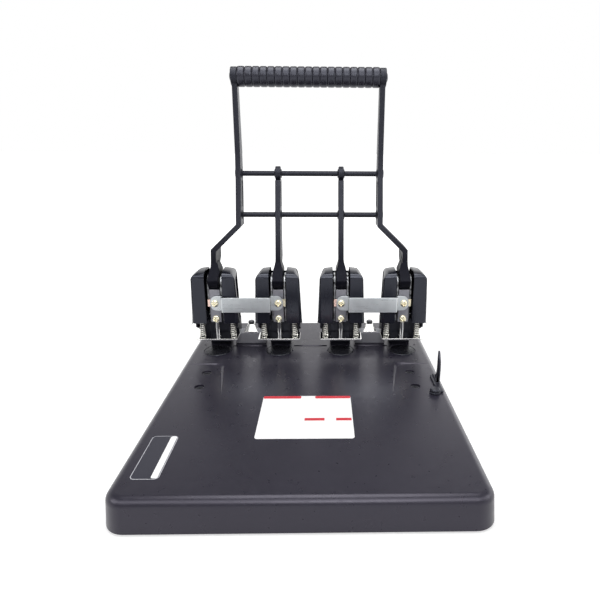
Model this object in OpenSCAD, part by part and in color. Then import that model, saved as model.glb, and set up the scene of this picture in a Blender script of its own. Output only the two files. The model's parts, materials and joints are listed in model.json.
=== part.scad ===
// Heavy-duty four-hole paper punch: four cam-driven heads on one flat base, pulled by one handle.
// The origin is the middle of the base on the desk, +Z is up and the paper goes in from -Y.

/* [Base] */
// Width of the base at the desk
base_w = 312; // [304:0.5:340]
// Length of the base, front to back
base_l = 392.5; // [370:0.5:420]
// Height of the front deck above the desk
deck_z = 30.5; // [28:0.5:36]
// Thickness of the deck and of the skirt
deck_t = 3; // [2.5:0.5:4]
// Corner radius of the base seen from above
corner_r = 19; // [16:1:30]
// Radius of the deck's edge
edge_r = 8; // [5:0.5:11]
// Draft of the base's sides, on each side
base_draft = 2.2; // [0.5:0.1:3]
// Gap between the skirt and the desk
skirt_gap = 1.5; // [1:0.5:2.5]
// Height of a rubber foot
foot_h = 3; // [2.6:0.2:4]
// Diameter of a rubber foot
foot_d = 22; // [16:1:28]
// Thickness of the bottom sheet
bottom_t = 1.5; // [1:0.5:2.5]
// Rise of the rear deck behind the paper edge
rear_rise = 0.8; // [0.6:0.1:1]
// Depth of the two shallow pockets in the deck, at their inner rear corner
pocket_depth = 1.6; // [1:0.2:2]
// Distance over which a pocket runs out sideways
pocket_w = 44; // [36:1:50]
// Distance over which a pocket runs out to the front
pocket_l = 76; // [62:1:80]
// Diameter of the screw wells in the pockets
well_d = 11; // [9:0.5:13]

/* [Holes and paper] */
// Distance between two holes
hole_pitch = 80; // [74:1:84]
// Distance of the hole row from the back of the base
hole_to_back = 99; // [94:1:110]
// Distance of the holes from the paper's edge
hole_margin = 12; // [11.5:0.5:13]
// Gap for the paper under the pressure plates
throat = 14.2; // [12:0.2:17]
// Diameter of the hollow punches
punch_d = 5.5; // [5:0.5:6.5]
// Bore of the hollow punches
punch_bore = 4; // [3:0.2:4.2]
// Diameter of the punching discs
disc_d = 33; // [28:1:33]
// Thickness of the punching discs
disc_t = 3.8; // [3.4:0.2:4.6]
// Distance of a disc's centre in front of its punch
disc_offset = 10.5; // [8:0.5:11.5]
// Distance of the side guide from the middle of the punch
guide_x = 146; // [140:0.5:149]
// Height of the side guide above the deck
guide_h = 37; // [25:1:45]

/* [Heads] */
// Width of a head cover at its bottom
cover_w = 60; // [58:0.5:64]
// Draft of a head cover's sides, on each side
cover_draft = 2.6; // [1:0.1:3]
// Depth of a head cover
cover_l = 43; // [42:0.5:50]
// Height of a head cover
cover_h = 64; // [60:0.5:72]
// Wall of a head cover
cover_wall = 2; // [1.6:0.2:2]
// Radius of a cover's upper edges at its sides
cover_top_r = 7; // [5:0.5:12]
// Radius of a cover's upper edge at its front
cover_brow_r = 5; // [3:0.5:8]
// Radius of a cover's upright edges at its front
cover_front_r = 5; // [3:0.5:8]
// Radius of a cover's upper edge at its rear
cover_rear_r = 13; // [8:0.5:15]
// Radius of a cover's upright edges at its rear
cover_plan_r = 17; // [12:0.5:18]
// Width of the slot in a cover
slot_w = 21.6; // [21.6:0.2:24]
// Distance of a cover's front face in front of the punches
cover_front = 11; // [11:0.5:13]
// Width of a head's casting
neck_w = 27; // [24:0.5:32]
// Thickness of the steel cheeks
cheek_t = 2.5; // [2:0.1:2.7]
// Width of a pressure plate
plate_w = 54; // [50:0.5:58]
// Distance of a pressure plate's front edge in front of its punch
plate_front = 12.5; // [10:0.5:14]
// Thickness of a pressure plate
plate_t = 2; // [1.5:0.1:2.5]
// Distance of the guide posts from the punch
post_x = 20; // [18:0.5:20.5]
// Diameter of the guide posts
post_d = 4; // [3:0.2:4.6]
// Length of the plate springs
plate_spring_h = 19.5; // [18:0.5:24]
// Curls of a plate spring
plate_spring_curls = 6; // [4:1:7]
// Wire of the plate springs
plate_wire = 0.9; // [0.7:0.1:1.2]
// Mean diameter of the plate springs
plate_spring_d = 6.6; // [6.2:0.1:7.4]
// Curls of a return spring
return_curls = 6; // [4:1:7]
// Wire of the return springs
return_wire = 1.2; // [0.9:0.1:1.4]

/* [Lever] */
// Turn of the lever from rest to the end of its stroke, in degrees
lever_turn = 70; // [55:1:75]
// Base radius of the involute cam
cam_r = 13; // [12:0.2:14]
// Width of the lever hub
hub_w = 13; // [12:0.2:14]
// Thickness of the lever arms
arm_t = 6.6; // [5:0.2:7]
// Distance of the outer arms from the middle, above their crank
grip_arm_x = 89.5; // [80:0.5:96]
// Height of the crank's lower bend above the pivot
crank_low = 38.5; // [34:0.5:44]
// Height of the crank's upper bend above the pivot
crank_high = 69; // [62:0.5:74]
// Diameter of the pivot pins
pivot_d = 6; // [5:0.2:7]
// Diameter of the cross rods
rod_d = 6.5; // [5:0.1:8]
// Diameter of the handle grip over its ribs
grip_d = 23.5; // [20:0.5:26]
// Number of ribs on the handle grip
grip_ribs = 19; // [12:1:24]
// Depth of the grooves between the ribs
grip_groove = 1.2; // [0.6:0.1:2]
// Diameter of the steel rod in the grip
grip_rod_d = 12; // [10:0.5:14]

/* [Carriage] */
// Height of a slider block
slider_h = 43.5; // [42:0.5:46]
// Height of the strap
strap_h = 19.5; // [14:0.5:20]
// Thickness of the strap
strap_t = 1.5; // [1:0.1:1.7]
// Height of the strap's middle below the slider's top
strap_drop = 17.5; // [16:0.5:19]
// Height of the lower screw above the slider's bottom
clamp_rise = 4.5; // [4.5:0.5:6]
// Shank of the carriage screws
screw_d = 4; // [3:0.2:4.4]
// Head of the carriage screws
screw_head_d = 9.4; // [8:0.2:9.4]

/* [Clearances] */
// Radial clearance of pins, posts and rods in their bores
fit_gap = 0.05; // [0.03:0.01:0.08]
// Side clearance of the sliders and hubs between the cheeks
slide_gap = 0.3; // [0.2:0.05:0.4]
// Gap between the cam and the slider, and under a punch at the end of its stroke
stop_gap = 0.15; // [0.1:0.05:0.3]

/* [Hidden] */
$fn = 64;
HEADS = [0, 1, 2, 3];

// Places of the heads
hole_y = base_l / 2 - hole_to_back;
function head_x(i) = (i - 1.5) * hole_pitch;

// Levels, from the desk upwards
deck_under = deck_z - deck_t;
rear_z = deck_z + rear_rise;
rail_t = 5;
disc_top = deck_under + disc_t;
plate_z = disc_top + throat;
plate_top = plate_z + plate_t;
ear_z = plate_top + plate_spring_h;
ear_t = 4;
cover_z = ear_z + 1;
stroke = cam_r * lever_turn * PI / 180;
tip_z = disc_top + stop_gap + stroke;
slider_z = ear_z + 1;
slider_top = slider_z + slider_h;
strap_z = slider_top - strap_drop;
clamp_z = slider_z + clamp_rise;
cam_start = 7.5;
pivot_z = slider_top + stop_gap + cam_start;

// Depths of a head, from the punch axis
slider_front = 5;
slider_back = 7;
cheek_front = 4;
back_y = cover_l - cover_front - cover_wall;
back_wall = 4;
wall_drop = 6;
cheek_back = 2;
cheek_low = strap_z + 4;
strap_ahead = 3;
lug_drop = 16;
web_y = back_y - back_wall - cheek_t;
neck_y = hole_margin + 2;
spring_room = 0.7;
return_spring_d = web_y - neck_y - return_wire - spring_room;

// Widths inside a head
channel_w = hub_w + 1;
slider_w = channel_w - 2 * slide_gap;
cheek_w = channel_w + 2 * cheek_t;
wall_w = neck_w - 6;
ear_out = post_x + 7;
skirt_t = 2.5;
SKIRT = [[-slider_front, ear_z - 6], [neck_y - 2, ear_z - 15], [web_y, ear_z - 19.5]];
ear_front = slider_front + 0.5;

// Lever side view from the pivot: height, front edge and rear edge at each bend
ARM_BENDS = [[14, -10, 14.5], [26, -5.7, 30], [40, -2, 31.5], [81, 9, 35], [124, 22, 44],
             [158, 28, 47], [240, 32, 45]];
INNER_BENDS = 5;
rod_low = [22, 81];
rod_high = [33, 131.5];
eye = [38.5, 244.6];
eye_r = 11;
eye_h = 1;
tip_r = 9;
hub_r = 9;
arm_out = 1.5;
boss_r = rod_d / 2 + 2.4;
boss_h = 1.2;

// A flat outline seen from the right, given as [y, z], carried along X over a width
module side_plate(width) {
    rotate([90, 0, 90]) linear_extrude(width, center = true) children();
}

// A flat outline seen from the front, given as [x, z], carried along Y over a depth
module front_plate(depth) {
    rotate([90, 0, 0]) linear_extrude(depth, center = true) children();
}

module x_rod(d, length) {
    rotate([0, 90, 0]) cylinder(d = d, h = length, center = true);
}

module y_rod(d, length) {
    rotate([-90, 0, 0]) cylinder(d = d, h = length);
}

// A rectangle with true round corners, centred
module round_rect(w, l, r) {
    square([w - 2 * r, l], center = true);
    square([w, l - 2 * r], center = true);
    for (x = [-1, 1], y = [-1, 1]) translate([x * (w / 2 - r), y * (l / 2 - r)]) circle(r);
}

// A centred rectangle with its own radius at each corner, anticlockwise from the lower left
module rounded(w, l, r) {
    corners = [[-1, -1], [1, -1], [1, 1], [-1, 1]];
    polygon([for (k = [0:3]) let (c = corners[k], flip = k % 2) each [
        [c[0] * (w / 2 - flip * r[k]), c[1] * (l / 2 - (1 - flip) * r[k])],
        [c[0] * (w / 2 - (1 - flip) * r[k]), c[1] * (l / 2 - flip * r[k])]]]);
    for (k = [0:3]) translate([corners[k][0] * (w / 2 - r[k]), corners[k][1] * (l / 2 - r[k])]) circle(r[k]);
}

// A rectangle standing on the X axis with two round upper corners, narrower at its top by the draft
module round_top(w, h, r, draft = 0) {
    half = w / 2 - draft;
    polygon([[-w / 2, 0], [w / 2, 0], [half, h - r], [-half, h - r]]);
    translate([r - half, 0]) square([2 * (half - r), h]);
    for (x = [-1, 1]) translate([x * (half - r), h - r]) circle(r);
}

// The section of a rim from its axis: the outer side has draft and the outer upper corner is round
module rim_section(w, h, r, draft) {
    top = w - draft;
    polygon([[0, 0], [w, 0], [top, h - r], [0, h - r]]);
    square([top - r, h]);
    translate([top - r, h - r]) intersection() {
        circle(r);
        square(r);
    }
}

// A block with round corners, drafted sides and a round upper edge, standing on its bottom
module pan(w, l, h, corner, edge) {
    inner_l = l - 2 * corner;
    front_plate(inner_l) round_top(w, h, edge, base_draft);
    for (turn = [0, 180]) rotate([0, 0, turn]) {
        translate([0, inner_l / 2, 0]) side_plate(w - 2 * corner) rim_section(corner, h, edge, base_draft);
        for (side = [0, 1]) mirror([side, 0, 0]) translate([w / 2 - corner, inner_l / 2, 0])
            rotate_extrude(angle = 90) rim_section(corner, h, edge, base_draft);
    }
}

// Places of the base's parts
boss_d = 10;
boss_screw_d = 4;
boss_in = [26, 28];
BOSSES = [for (x = [-1, 1], y = [-1, -0.4, 1])
    [x * (base_w / 2 - boss_in[0]), y * (base_l / 2 - boss_in[1])]];
foot_in = [48, 34];
FEET = [for (x = [-1, 1], y = [-1, 1])
    [x * (base_w / 2 - foot_in[0]), y * (base_l / 2 - foot_in[1])]];
pocket_back = 51;
pocket_y = hole_y - pocket_back;
pocket_x = 120;
pocket_in = 106;
well_rows = [22, 58];
WELLS = [for (x = [-1, 1], y = well_rows) [x * pocket_x, pocket_y - y]];
knob_in = 7.6;
knob_ahead = 125.5;
guide_pivot = [guide_x - knob_in, hole_y - knob_ahead];
knob_d = 11;
stud_d = 5;
rail_bolt_d = 6;
rail_bolt_x = 7;
rail_bolt_y = 24;
rail_bolt_up = 16;
RAIL_BOLTS = [for (i = HEADS, x = [-1, 1]) [head_x(i) + x * rail_bolt_x, hole_y + rail_bolt_y]];
rear_step = 5;
tongue_w = disc_d + 3;
rear_l = 84;
rear_inset = 14;
rear_r = 8;
stop_w = 40;
stop_l = 18;
stop_x = hole_pitch;
stop_top = plate_z + 0.5;

// One shallow pocket on the right: its floor runs out to the front and to the side from its inner
// rear corner, and its rear and inner walls slope
module pocket() {
    r = 9;
    up = 4;
    run = 2.2 * up;
    section = [[-1, 0], [0, 0], [run, up], [-1, up]];
    translate([pocket_in, pocket_y, deck_z - pocket_depth])
        rotate([-atan(pocket_depth / pocket_l), -atan(pocket_depth / pocket_w), 0]) {
            translate([r, -pocket_l - r, 0]) cube([pocket_w, pocket_l + r, up]);
            translate([0, -pocket_l - r, 0]) cube([r + 1, pocket_l, up]);
            translate([r, -r, 0]) cylinder(r = r, h = up);
            translate([r + pocket_w / 2, 0, 0]) side_plate(pocket_w) polygon(section);
            translate([0, -r - pocket_l / 2, 0]) mirror([1, 0, 0]) front_plate(pocket_l) polygon(section);
            translate([r, -r, 0]) rotate([0, 0, 90]) rotate_extrude(angle = 90)
                polygon([for (p = section) [p[0] + r, p[1]]]);
        }
}

module base_cover() {
    color("#2b2c30") difference() {
        union() {
            translate([0, 0, skirt_gap]) pan(base_w, base_l, deck_z - skirt_gap, corner_r, edge_r);
            translate([0, hole_y + rear_step + rear_l / 2, deck_z - 0.5])
                linear_extrude(rear_rise + 0.5) round_rect(base_w - 2 * rear_inset, rear_l, rear_r);
            for (i = HEADS) translate([head_x(i) - tongue_w / 2, hole_y - disc_offset, deck_z - 0.5])
                cube([tongue_w, disc_offset + rear_step + 1, rear_rise + 0.5]);
        }
        difference() {
            translate([0, 0, skirt_gap - 1]) pan(base_w - 2 * deck_t, base_l - 2 * deck_t,
                deck_under - skirt_gap + 1, corner_r - deck_t, edge_r - deck_t);
            for (p = BOSSES) translate([p[0], p[1], foot_h + bottom_t]) cylinder(d = boss_d, h = deck_z);
        }
        for (p = BOSSES) translate([p[0], p[1], 0])
            cylinder(d = boss_screw_d + 2 * fit_gap, h = deck_under - 4);
        for (i = HEADS) translate([head_x(i), hole_y - disc_offset, deck_under - 1])
            cylinder(d = disc_d + 2 * slide_gap, h = deck_t + 2);
        for (p = RAIL_BOLTS) translate([p[0], p[1], deck_under - 1])
            cylinder(d = rail_bolt_d + 2 * fit_gap, h = deck_t + rear_rise + 2);
        for (side = [0, 1]) mirror([side, 0, 0]) pocket();
        for (p = WELLS) translate([p[0], p[1], deck_under - 1]) cylinder(d = well_d, h = deck_t + 2);
        translate([guide_pivot[0], guide_pivot[1], deck_under - 1])
            cylinder(d = stud_d + 2 * fit_gap, h = deck_t + 2);
    }
}

module bottom_plate() {
    inset = deck_t + base_draft;
    color("#6f7276") translate([0, 0, foot_h]) linear_extrude(bottom_t) difference() {
        round_rect(base_w - 2 * inset, base_l - 2 * inset, corner_r - inset);
        for (p = BOSSES) translate(p) circle(d = boss_screw_d + 2 * fit_gap);
    }
}

module feet() {
    color("#1b1b1c") for (p = FEET) translate(p) rotate_extrude()
        polygon([[0, 0], [foot_d / 2 - 1, 0], [foot_d / 2, 1], [foot_d / 2 - 1, foot_h], [0, foot_h]]);
}

module base_screws() {
    head_h = foot_h - 1;
    color("#9a9ca0") for (p = BOSSES) translate([p[0], p[1], 0]) {
        translate([0, 0, foot_h - head_h]) cylinder(d = 7, h = head_h);
        translate([0, 0, foot_h]) cylinder(d = boss_screw_d, h = 14);
    }
}

// Steel plate under the deck that carries the heads, the discs and the pocket screws
rail_front = disc_offset + disc_d / 2 + 4;
rail_back = back_y + 8;
module head_rail() {
    tongue_l = 70;
    side_gap = 8;
    color("#8c8f94") difference() {
        translate([0, hole_y, deck_under - rail_t]) linear_extrude(rail_t) {
            translate([0, (rail_back - rail_front) / 2])
                square([base_w - 2 * (deck_t + side_gap), rail_back + rail_front], center = true);
            for (x = [-1, 1]) translate([x * pocket_x - well_d, -pocket_back - tongue_l])
                square([2 * well_d, tongue_l + pocket_back - rail_front]);
        }
        for (p = RAIL_BOLTS) translate([p[0], p[1], 0]) cylinder(d = rail_bolt_d + 2 * fit_gap, h = deck_z);
    }
}

module rail_bolts() {
    head_h = 4;
    head_d = rail_bolt_d + 4;
    color("#7c7f83") for (p = RAIL_BOLTS) translate([p[0], p[1], deck_under - rail_t]) {
        translate([0, 0, -head_h]) cylinder(d = head_d, h = head_h, $fn = 6);
        cylinder(d = rail_bolt_d, h = rail_t + deck_t + rear_rise + rail_bolt_up);
    }
}

module pocket_screws() {
    head_h = 1.2;
    color("#303134") for (p = WELLS) translate([p[0], p[1], deck_under]) difference() {
        rotate_extrude() polygon([[0, 0], [4.2, 0], [4.2, 0.5], [3, head_h], [0, head_h]]);
        for (turn = [0, 90]) rotate([0, 0, turn]) translate([-2, -0.5, 0.4]) cube([4, 1, head_h]);
    }
}

module punch_discs() {
    color("#1f2023") for (i = HEADS) translate([head_x(i), hole_y - disc_offset, deck_under])
        rotate_extrude() polygon([[0, 0], [disc_d / 2, 0], [disc_d / 2, disc_t - 0.5],
                                  [disc_d / 2 - 0.5, disc_t], [0, disc_t]]);
}

// Black casting: a neck behind the paper, a back wall in the cover and two ears for the guide posts
module head_casting(i) {
    color("#222326") translate([head_x(i), hole_y, 0]) difference() {
        union() {
            translate([-neck_w / 2, neck_y, rear_z]) cube([neck_w, back_y - neck_y, ear_z - rear_z]);
            translate([-wall_w / 2, web_y + cheek_t, ear_z])
                cube([wall_w, back_wall, pivot_z - ear_z - wall_drop]);
            for (side = [0, 1]) mirror([side, 0, 0]) translate([cheek_w / 2, 0, ear_z]) {
                translate([0, -ear_front, 0]) cube([ear_out - cheek_w / 2, 2 * ear_front, ear_t]);
                translate([ear_out - (cheek_w + skirt_t) / 2, 0, -ear_z]) side_plate(skirt_t)
                    polygon(concat(SKIRT, [[web_y, ear_z + 0.5], [-slider_front, ear_z + 0.5]]));
                translate([0, -ear_front, 0]) cube([(neck_w - cheek_w) / 2, web_y + ear_front, ear_t]);
            }
        }
        for (x = [-1, 1]) translate([x * post_x, 0, ear_z - 1])
            cylinder(d = post_d + 2 * fit_gap, h = ear_t + 2);
        for (x = [-1, 1]) translate([x * rail_bolt_x, rail_bolt_y, rear_z - 1])
            cylinder(d = rail_bolt_d + 2 * fit_gap, h = rail_bolt_up + 2);
        translate([0, back_y - back_wall, cover_z + cover_h / 2]) y_rod(screw_d + 2 * fit_gap, back_wall + 1);
    }
}

// Zinc-plated channels whose cheeks guide the sliders and carry the pivots
module cheek_brackets() {
    height = pivot_z + 9 - ear_z;
    depth = web_y + cheek_t + cheek_front;
    color("#c9cbcd") for (i = HEADS) translate([head_x(i), hole_y, 0]) difference() {
        translate([0, depth / 2 - cheek_front, ear_z]) side_plate(cheek_w) round_top(depth, height, 10);
        translate([-channel_w / 2, -cheek_front - 1, ear_z - 1])
            cube([channel_w, web_y + cheek_front + 1, height + 2]);
        translate([-cheek_w / 2 - 1, -cheek_front - 1, ear_z - 1])
            cube([cheek_w + 2, cheek_front + cheek_back + 1, cheek_low - ear_z + 1]);
        translate([-channel_w / 2, 0, pivot_z - 8]) cube([channel_w, depth, height]);
        translate([0, cam_r, pivot_z]) x_rod(pivot_d + 2 * fit_gap, cheek_w + 1);
    }
}

module pivot_pins() {
    color("#b9bcc0") for (i = HEADS) translate([head_x(i), hole_y + cam_r, pivot_z])
        x_rod(pivot_d, cheek_w + 1);
}

// The cover's outside, or its hollow when inset by the wall
module cover_form(inset, h) {
    mid_y = cover_l / 2 - cover_front;
    brow = cover_brow_r - inset;
    front = cover_front_r - inset;
    rear = cover_rear_r - inset;
    plan = cover_plan_r - inset;
    translate([0, mid_y, 0]) intersection() {
        front_plate(cover_l + 2) round_top(cover_w - 2 * inset, h, cover_top_r - inset, cover_draft);
        side_plate(cover_w + 2) rounded(cover_l - 2 * inset, 2 * h, [brow, rear, rear, brow]);
        linear_extrude(h) rounded(cover_w - 2 * inset, cover_l - 2 * inset, [front, front, plan, plan]);
    }
}

module head_cover(i) {
    color("#26272b") translate([head_x(i), hole_y, cover_z]) difference() {
        cover_form(0, cover_h);
        translate([0, 0, -1]) cover_form(cover_wall, cover_h - cover_wall + 1);
        translate([-slot_w / 2, -cover_front - 1, -1])
            cube([slot_w, back_y + cover_front, cover_h + 2]);
        translate([0, back_y - 1, cover_h / 2]) y_rod(screw_d + 2 * fit_gap, cover_wall + 2);
    }
}

// A pan-head screw along Y with its seat at y = 0, its head towards -Y and a cross recess
module cross_screw(shank) {
    head_h = 2.7;
    difference() {
        union() {
            rotate([90, 0, 0]) rotate_extrude()
                polygon([[0, 0], [screw_head_d / 2, 0], [screw_head_d / 2, head_h / 2],
                         [screw_head_d / 2 - 1.4, head_h], [0, head_h]]);
            y_rod(screw_d, shank);
        }
        for (turn = [0, 90]) rotate([0, turn, 0]) translate([-2, -head_h - 1, -0.5]) cube([4, 2.3, 1]);
    }
}

module cover_screws() {
    color("#3a3b3e") for (i = HEADS)
        translate([head_x(i), hole_y + back_y + cover_wall, cover_z + cover_h / 2])
            rotate([0, 0, 180]) cross_screw(cover_wall + back_wall - 0.5);
}

// Paper stops between the heads, each with a plated bracket and a small knob
module paper_stops() {
    notch = 1.6;
    color("#3b3c40") for (x = [-1, 1]) translate([x * stop_x, hole_y + hole_margin, 0]) difference() {
        translate([-stop_w / 2, 0, rear_z]) cube([stop_w, stop_l, stop_top - rear_z]);
        translate([-notch / 2, -1, stop_top - notch]) cube([notch, 2.5, notch + 1]);
    }
}

bracket_h = 9;
bracket_top_w = 9;
module stop_brackets() {
    sheet = 1.5;
    foot_w = 19;
    flare_h = 0.85 * bracket_h;
    color("#d4d6d8") for (x = [-1, 1])
        translate([x * stop_x, hole_y + hole_margin, stop_top]) intersection() {
            side_plate(foot_w) polygon([[1, 0], [5, 0], [5, sheet], [4, sheet], [10, bracket_h - sheet],
                                        [stop_l, bracket_h - sheet], [stop_l, bracket_h], [9, bracket_h],
                                        [2, sheet], [1, sheet]]);
            front_plate(4 * stop_l) polygon([[-foot_w / 2, 0], [foot_w / 2, 0], [bracket_top_w / 2, flare_h],
                                             [bracket_top_w / 2, bracket_h], [-bracket_top_w / 2, bracket_h],
                                             [-bracket_top_w / 2, flare_h]]);
        }
}

module stop_knobs() {
    color("#232427") for (x = [-1, 1])
        translate([x * stop_x, hole_y + hole_margin + stop_l / 2 + 4, stop_top + bracket_h])
            rotate_extrude() polygon([[0, 0], [3.4, 0], [4, 1], [4, 3.2], [3.2, 4], [0, 4]]);
}

// Side guide: a fin on a foot that swivels about the knob's stud
guide_foot_t = 2;
fin_ahead = 106;
module side_guide() {
    fin_t = 2.2;
    fin_front = hole_y - fin_ahead;
    fin_l = 10;
    foot_w = 7;
    foot_z = deck_z + stop_gap;
    color("#1d1e21") difference() {
        union() {
            translate([guide_pivot[0], guide_pivot[1], foot_z]) cylinder(d = knob_d + 0.6, h = guide_foot_t);
            translate([guide_x + fin_t - foot_w, guide_pivot[1], foot_z])
                cube([foot_w, fin_front + 2 * fin_l - guide_pivot[1], guide_foot_t]);
            translate([guide_x + fin_t / 2, fin_front, foot_z]) side_plate(fin_t)
                polygon([[0, 0], [fin_l + 12, 0], [fin_l + 9, 3], [fin_l + 2, 7], [fin_l, 14],
                         [fin_l, guide_h], [fin_l - 3, guide_h - 2], [4, guide_h - 6], [1.4, guide_h - 11],
                         [0, guide_h - 18]]);
            translate([guide_x - 1, fin_front + fin_l, foot_z + guide_foot_t])
                rotate([90, 0, 0]) cylinder(r = 1.6, h = 2 * fin_l, center = true);
        }
        translate([guide_pivot[0], guide_pivot[1], deck_z - 1]) cylinder(d = stud_d + 2 * fit_gap, h = 9);
    }
}

module guide_knob() {
    knob_h = 3.2;
    grips = 16;
    knob_z = deck_z + 2 * stop_gap + guide_foot_t;
    color("#1d1e21") translate([guide_pivot[0], guide_pivot[1], 0]) {
        translate([0, 0, knob_z]) difference() {
            rotate_extrude() polygon([[0, 0], [knob_d / 2, 0], [knob_d / 2, knob_h - 1],
                                      [knob_d / 2 - 1, knob_h], [0, knob_h]]);
            for (k = [1:grips]) rotate([0, 0, k * 360 / grips]) translate([knob_d / 2 + 0.6, 0, -1])
                cylinder(r = 1, h = knob_h + 2);
        }
        translate([0, 0, deck_under]) cylinder(d = stud_d, h = knob_z - deck_under);
    }
}

// The cam's edge: an involute of the base circle, so the slider sinks evenly as the lever turns
cam_steps = 14;
function cam_point(s) = let (turn = (s - cam_start) * 180 / PI / cam_r)
    [-cam_r * cos(turn) - s * sin(turn), cam_r * sin(turn) - s * cos(turn)];
CAM_EDGE = [for (k = [0:cam_steps]) cam_point(cam_start - 3 + k * (stroke + 4) / cam_steps)];

// One arm seen from the side, up to its rod eye or to the handle's eye
module arm_side(bends) {
    rows = [for (k = [0:bends - 1]) ARM_BENDS[k]];
    polygon(concat([[-hub_r, 0]], [for (r = rows) [r[1], r[0]]],
                   [for (k = [bends - 1:-1:0]) [rows[k][2], rows[k][0]]], [[hub_r, 0]]));
}

// The shallow panel sunk into an arm's faces between the two cross rods
module arm_panel() {
    inset = 4.5;
    low = ARM_BENDS[3];
    high = ARM_BENDS[4];
    rise = boss_r + 4;
    polygon([[low[1] + inset + 3, low[0] + rise], [high[1] + inset - 2, high[0] - 2],
             [high[2] - inset - 2, high[0] - 2], [low[2] - inset + 2, low[0] + rise]]);
}

// An outer arm seen from the front: a band bent from its head in to the grip
module crank_band(from, to) {
    angle = atan2(abs(from - to), crank_high - crank_low);
    miter = arm_t / 2 * tan(angle / 2) * sign(from - to);
    low = -hub_r - 1;
    high = eye[1] + eye_r + 1;
    polygon([for (side = [1, -1]) each (side > 0
        ? [[from + arm_t / 2, low], [from + arm_t / 2, crank_low + miter],
           [to + arm_t / 2, crank_high + miter], [to + arm_t / 2, high]]
        : [[to - arm_t / 2, high], [to - arm_t / 2, crank_high - miter],
           [from - arm_t / 2, crank_low - miter], [from - arm_t / 2, low]])]);
}

// The wide hub with its cam, tapering into the arm above
module lever_hub() {
    shoulder = ARM_BENDS[0];
    top = 24;
    intersection() {
        side_plate(hub_w + 1) union() {
            polygon(concat(CAM_EDGE, [[shoulder[1] - 2, shoulder[0]], [shoulder[1] + 4, top],
                                      [shoulder[2] - 4, top], [shoulder[2] - 1, shoulder[0] - 2], [0, 0]]));
            circle(hub_r);
        }
        front_plate(2 * cover_l) polygon([[-hub_w / 2, -cover_h], [hub_w / 2, -cover_h],
                                          [hub_w / 2, shoulder[0]], [arm_t / 2, top + 1],
                                          [-arm_t / 2, top + 1], [-hub_w / 2, shoulder[0]]]);
    }
}

module lever_arm(i) {
    outer = i == 0 || i == 3;
    x = head_x(i);
    top_x = outer ? sign(x) * grip_arm_x : x;
    color("#232428") translate([0, hole_y + cam_r, pivot_z]) difference() {
        union() {
            intersection() {
                side_plate(2 * base_w) {
                    arm_side(outer ? len(ARM_BENDS) : INNER_BENDS);
                    if (outer) translate(eye) circle(eye_r);
                    if (!outer) translate(rod_high) circle(tip_r);
                }
                front_plate(2 * base_l) crank_band(outer ? x + sign(x) * arm_out : x, top_x);
            }
            translate([x, 0, 0]) lever_hub();
            for (p = [rod_low, rod_high]) translate([top_x, p[0], p[1]])
                x_rod(2 * boss_r, arm_t + 2 * boss_h);
            if (outer) translate([top_x + sign(x) * eye_h / 2, eye[0], eye[1]])
                x_rod(2 * eye_r, arm_t + eye_h);
        }
        translate([x, 0, 0]) x_rod(pivot_d + 2 * fit_gap, hub_w + 2);
        for (p = [rod_low, rod_high]) translate([top_x, p[0], p[1]])
            x_rod(rod_d + 2 * fit_gap, arm_t + 2 * boss_h + 1);
        for (face = [-1, 1]) translate([top_x + face * arm_t / 2, 0, 0]) side_plate(1.2) arm_panel();
        if (outer) translate([top_x, eye[0], eye[1]]) x_rod(bolt_d + 2 * fit_gap, arm_t + 6);
    }
}

module cross_rod(place) {
    color("#26272a") translate([0, hole_y + cam_r + place[0], pivot_z + place[1]])
        x_rod(rod_d, 2 * grip_arm_x + arm_t + 2 * boss_h);
}

// Handle: a steel rod between the arm eyes, a ribbed grip on it and a bolt through each eye
bolt_d = 6;
bolt_l = 18;
grip_l = 2 * grip_arm_x - arm_t - 2 * fit_gap;
module on_grip_axis() {
    translate([0, hole_y + cam_r + eye[0], pivot_z + eye[1]]) rotate([0, 90, 0]) children();
}

module handle_rod() {
    color("#8e9196") on_grip_axis() difference() {
        cylinder(d = grip_rod_d, h = grip_l, center = true);
        for (side = [0, 1]) mirror([0, 0, side]) translate([0, 0, grip_l / 2 - bolt_l])
            cylinder(d = bolt_d + 2 * fit_gap, h = bolt_l + 1);
    }
}

module handle_grip() {
    pitch = grip_l / grip_ribs;
    inner = grip_rod_d / 2 + fit_gap;
    r = grip_d / 2;
    ribs = [for (k = [0:grip_ribs - 1]) each [[r - grip_groove, k * pitch], [r - 0.3, k * pitch + 0.7],
        [r, k * pitch + 2], [r, (k + 1) * pitch - 2], [r - 0.3, (k + 1) * pitch - 0.7]]];
    color("#2a2a2e") on_grip_axis() translate([0, 0, -grip_l / 2]) rotate_extrude()
        polygon(concat([[inner, 0]], ribs, [[r - grip_groove, grip_l], [inner, grip_l]]));
}

module handle_bolts() {
    seat = grip_arm_x + arm_t / 2 + eye_h;
    color("#242529") on_grip_axis() for (side = [0, 1]) mirror([0, 0, side]) {
        translate([0, 0, seat]) rotate_extrude()
            polygon([[0, 0], [5.5, 0], [5.5, 0.7], [4.4, 1.6], [2.4, 2.1], [0, 2.2]]);
        translate([0, 0, grip_l / 2 - bolt_l + 1]) cylinder(d = bolt_d, h = seat - grip_l / 2 + bolt_l - 1);
    }
}

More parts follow.
